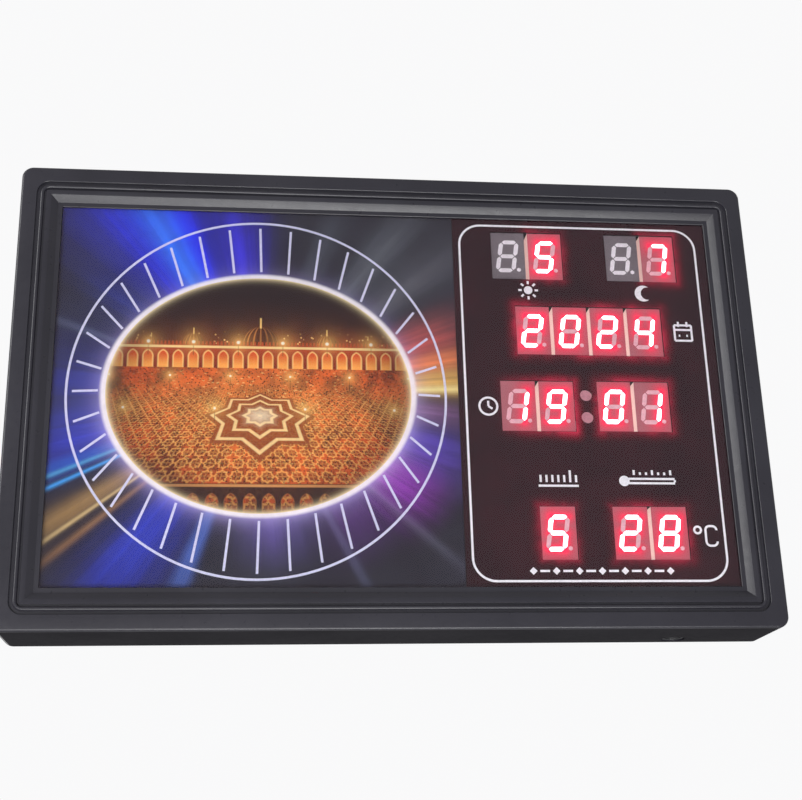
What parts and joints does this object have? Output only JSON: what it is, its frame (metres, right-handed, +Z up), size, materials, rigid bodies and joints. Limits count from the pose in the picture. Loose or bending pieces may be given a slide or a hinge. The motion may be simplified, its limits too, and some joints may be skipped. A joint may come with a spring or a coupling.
{
  "type": "azan clock",
  "caption": "Wall clock like a picture frame: dark moulded frame, printed dial under glass, seven-segment LED calendar behind a tinted window, speaker and keys at the back.",
  "frame": {"origin": "middle of the flat back face that lies on the wall", "axes": "+Z up, +X to the reader's right, +Y into the wall; the display looks along -Y"},
  "size_m": [0.265, 0.03, 0.167],
  "materials": {
    "frame_plastic": "satin moulded ABS with a fine grain",
    "clear_glass": "polished",
    "printed_film": "full-colour print under the glass",
    "tinted_film": "smoked, see-through",
    "black_plastic": "moulded",
    "screw_steel": "zinc plated",
    "board_laminate": "green solder mask",
    "module_plastic": "grey face, white sides",
    "milky_resin": "milky diffuser, unlit",
    "lit_resin": "milky diffuser, lit red",
    "led_epoxy": "diffused epoxy",
    "chip_plastic": "moulded epoxy",
    "bright_metal": "plated",
    "speaker_steel": "black pressed steel",
    "cone_paper": "felted paper",
    "magnet_ferrite": "ground ferrite",
    "cover_plastic": "textured moulded ABS",
    "button_rubber": "soft grey"
  },
  "bodies": {
    "clock": {"front_frame": "frame_plastic", "front_glass": "clear_glass", "picture_print": "printed_film", "window_film": "tinted_film", "glass_clips": "black_plastic", "main_board": "board_laminate", "board_screws": "screw_steel", "unlit_segments": "milky_resin", "colon_leds": "led_epoxy", "controller_chip": "chip_plastic", "driver_chips": "chip_plastic", "amplifier_chip": "chip_plastic", "crystal_can": "bright_metal", "filter_capacitors": "bright_metal", "voltage_regulator": "chip_plastic", "temperature_sensor": "chip_plastic", "coin_cell_holder": "black_plastic", "coin_cell": "bright_metal", "dc_jack": "black_plastic", "tact_switches": "black_plastic", "speaker_basket": "speaker_steel", "speaker_cone": "cone_paper", "speaker_magnet": "magnet_ferrite", "speaker_screws": "screw_steel", "rear_cover": "cover_plastic", "cover_screws": "screw_steel", "day_tens_module": "module_plastic", "day_units_module": "module_plastic", "month_tens_module": "module_plastic", "month_units_module": "module_plastic", "year_thousands_module": "module_plastic", "year_hundreds_module": "module_plastic", "year_tens_module": "module_plastic", "year_units_module": "module_plastic", "hour_tens_module": "module_plastic", "hour_units_module": "module_plastic", "minute_tens_module": "module_plastic", "minute_units_module": "module_plastic", "week_digit_module": "module_plastic", "temperature_tens_module": "module_plastic", "temperature_units_module": "module_plastic", "day_lit_segments": "lit_resin", "month_lit_segments": "lit_resin", "year_lit_segments": "lit_resin", "hour_lit_segments": "lit_resin", "minute_lit_segments": "lit_resin", "week_lit_segments": "lit_resin", "temperature_lit_segments": "lit_resin"},
    "door": {"battery_door": "cover_plastic"},
    "mode_key": {"mode_button": "button_rubber", "mode_plunger": "black_plastic"},
    "set_key": {"set_button": "button_rubber", "set_plunger": "black_plastic"},
    "up_key": {"up_button": "button_rubber", "up_plunger": "black_plastic"},
    "down_key": {"down_button": "button_rubber", "down_plunger": "black_plastic"}
  },
  "joints": [
    {"name": "door_slide", "type": "slide", "parent": "clock", "child": "door", "axis": [0, 0, -1], "range_m": [0, 0.044]},
    {"name": "mode_press", "type": "slide", "parent": "clock", "child": "mode_key", "axis": [0, -1, 0], "range_m": [0, 0.0006], "stiffness_N_per_m": 800, "springref_m": -0.0002},
    {"name": "set_press", "type": "slide", "parent": "clock", "child": "set_key", "axis": [0, -1, 0], "range_m": [0, 0.0006], "stiffness_N_per_m": 800, "springref_m": -0.0002},
    {"name": "up_press", "type": "slide", "parent": "clock", "child": "up_key", "axis": [0, -1, 0], "range_m": [0, 0.0006], "stiffness_N_per_m": 800, "springref_m": -0.0002},
    {"name": "down_press", "type": "slide", "parent": "clock", "child": "down_key", "axis": [0, -1, 0], "range_m": [0, 0.0006], "stiffness_N_per_m": 800, "springref_m": -0.0002}
  ]
}
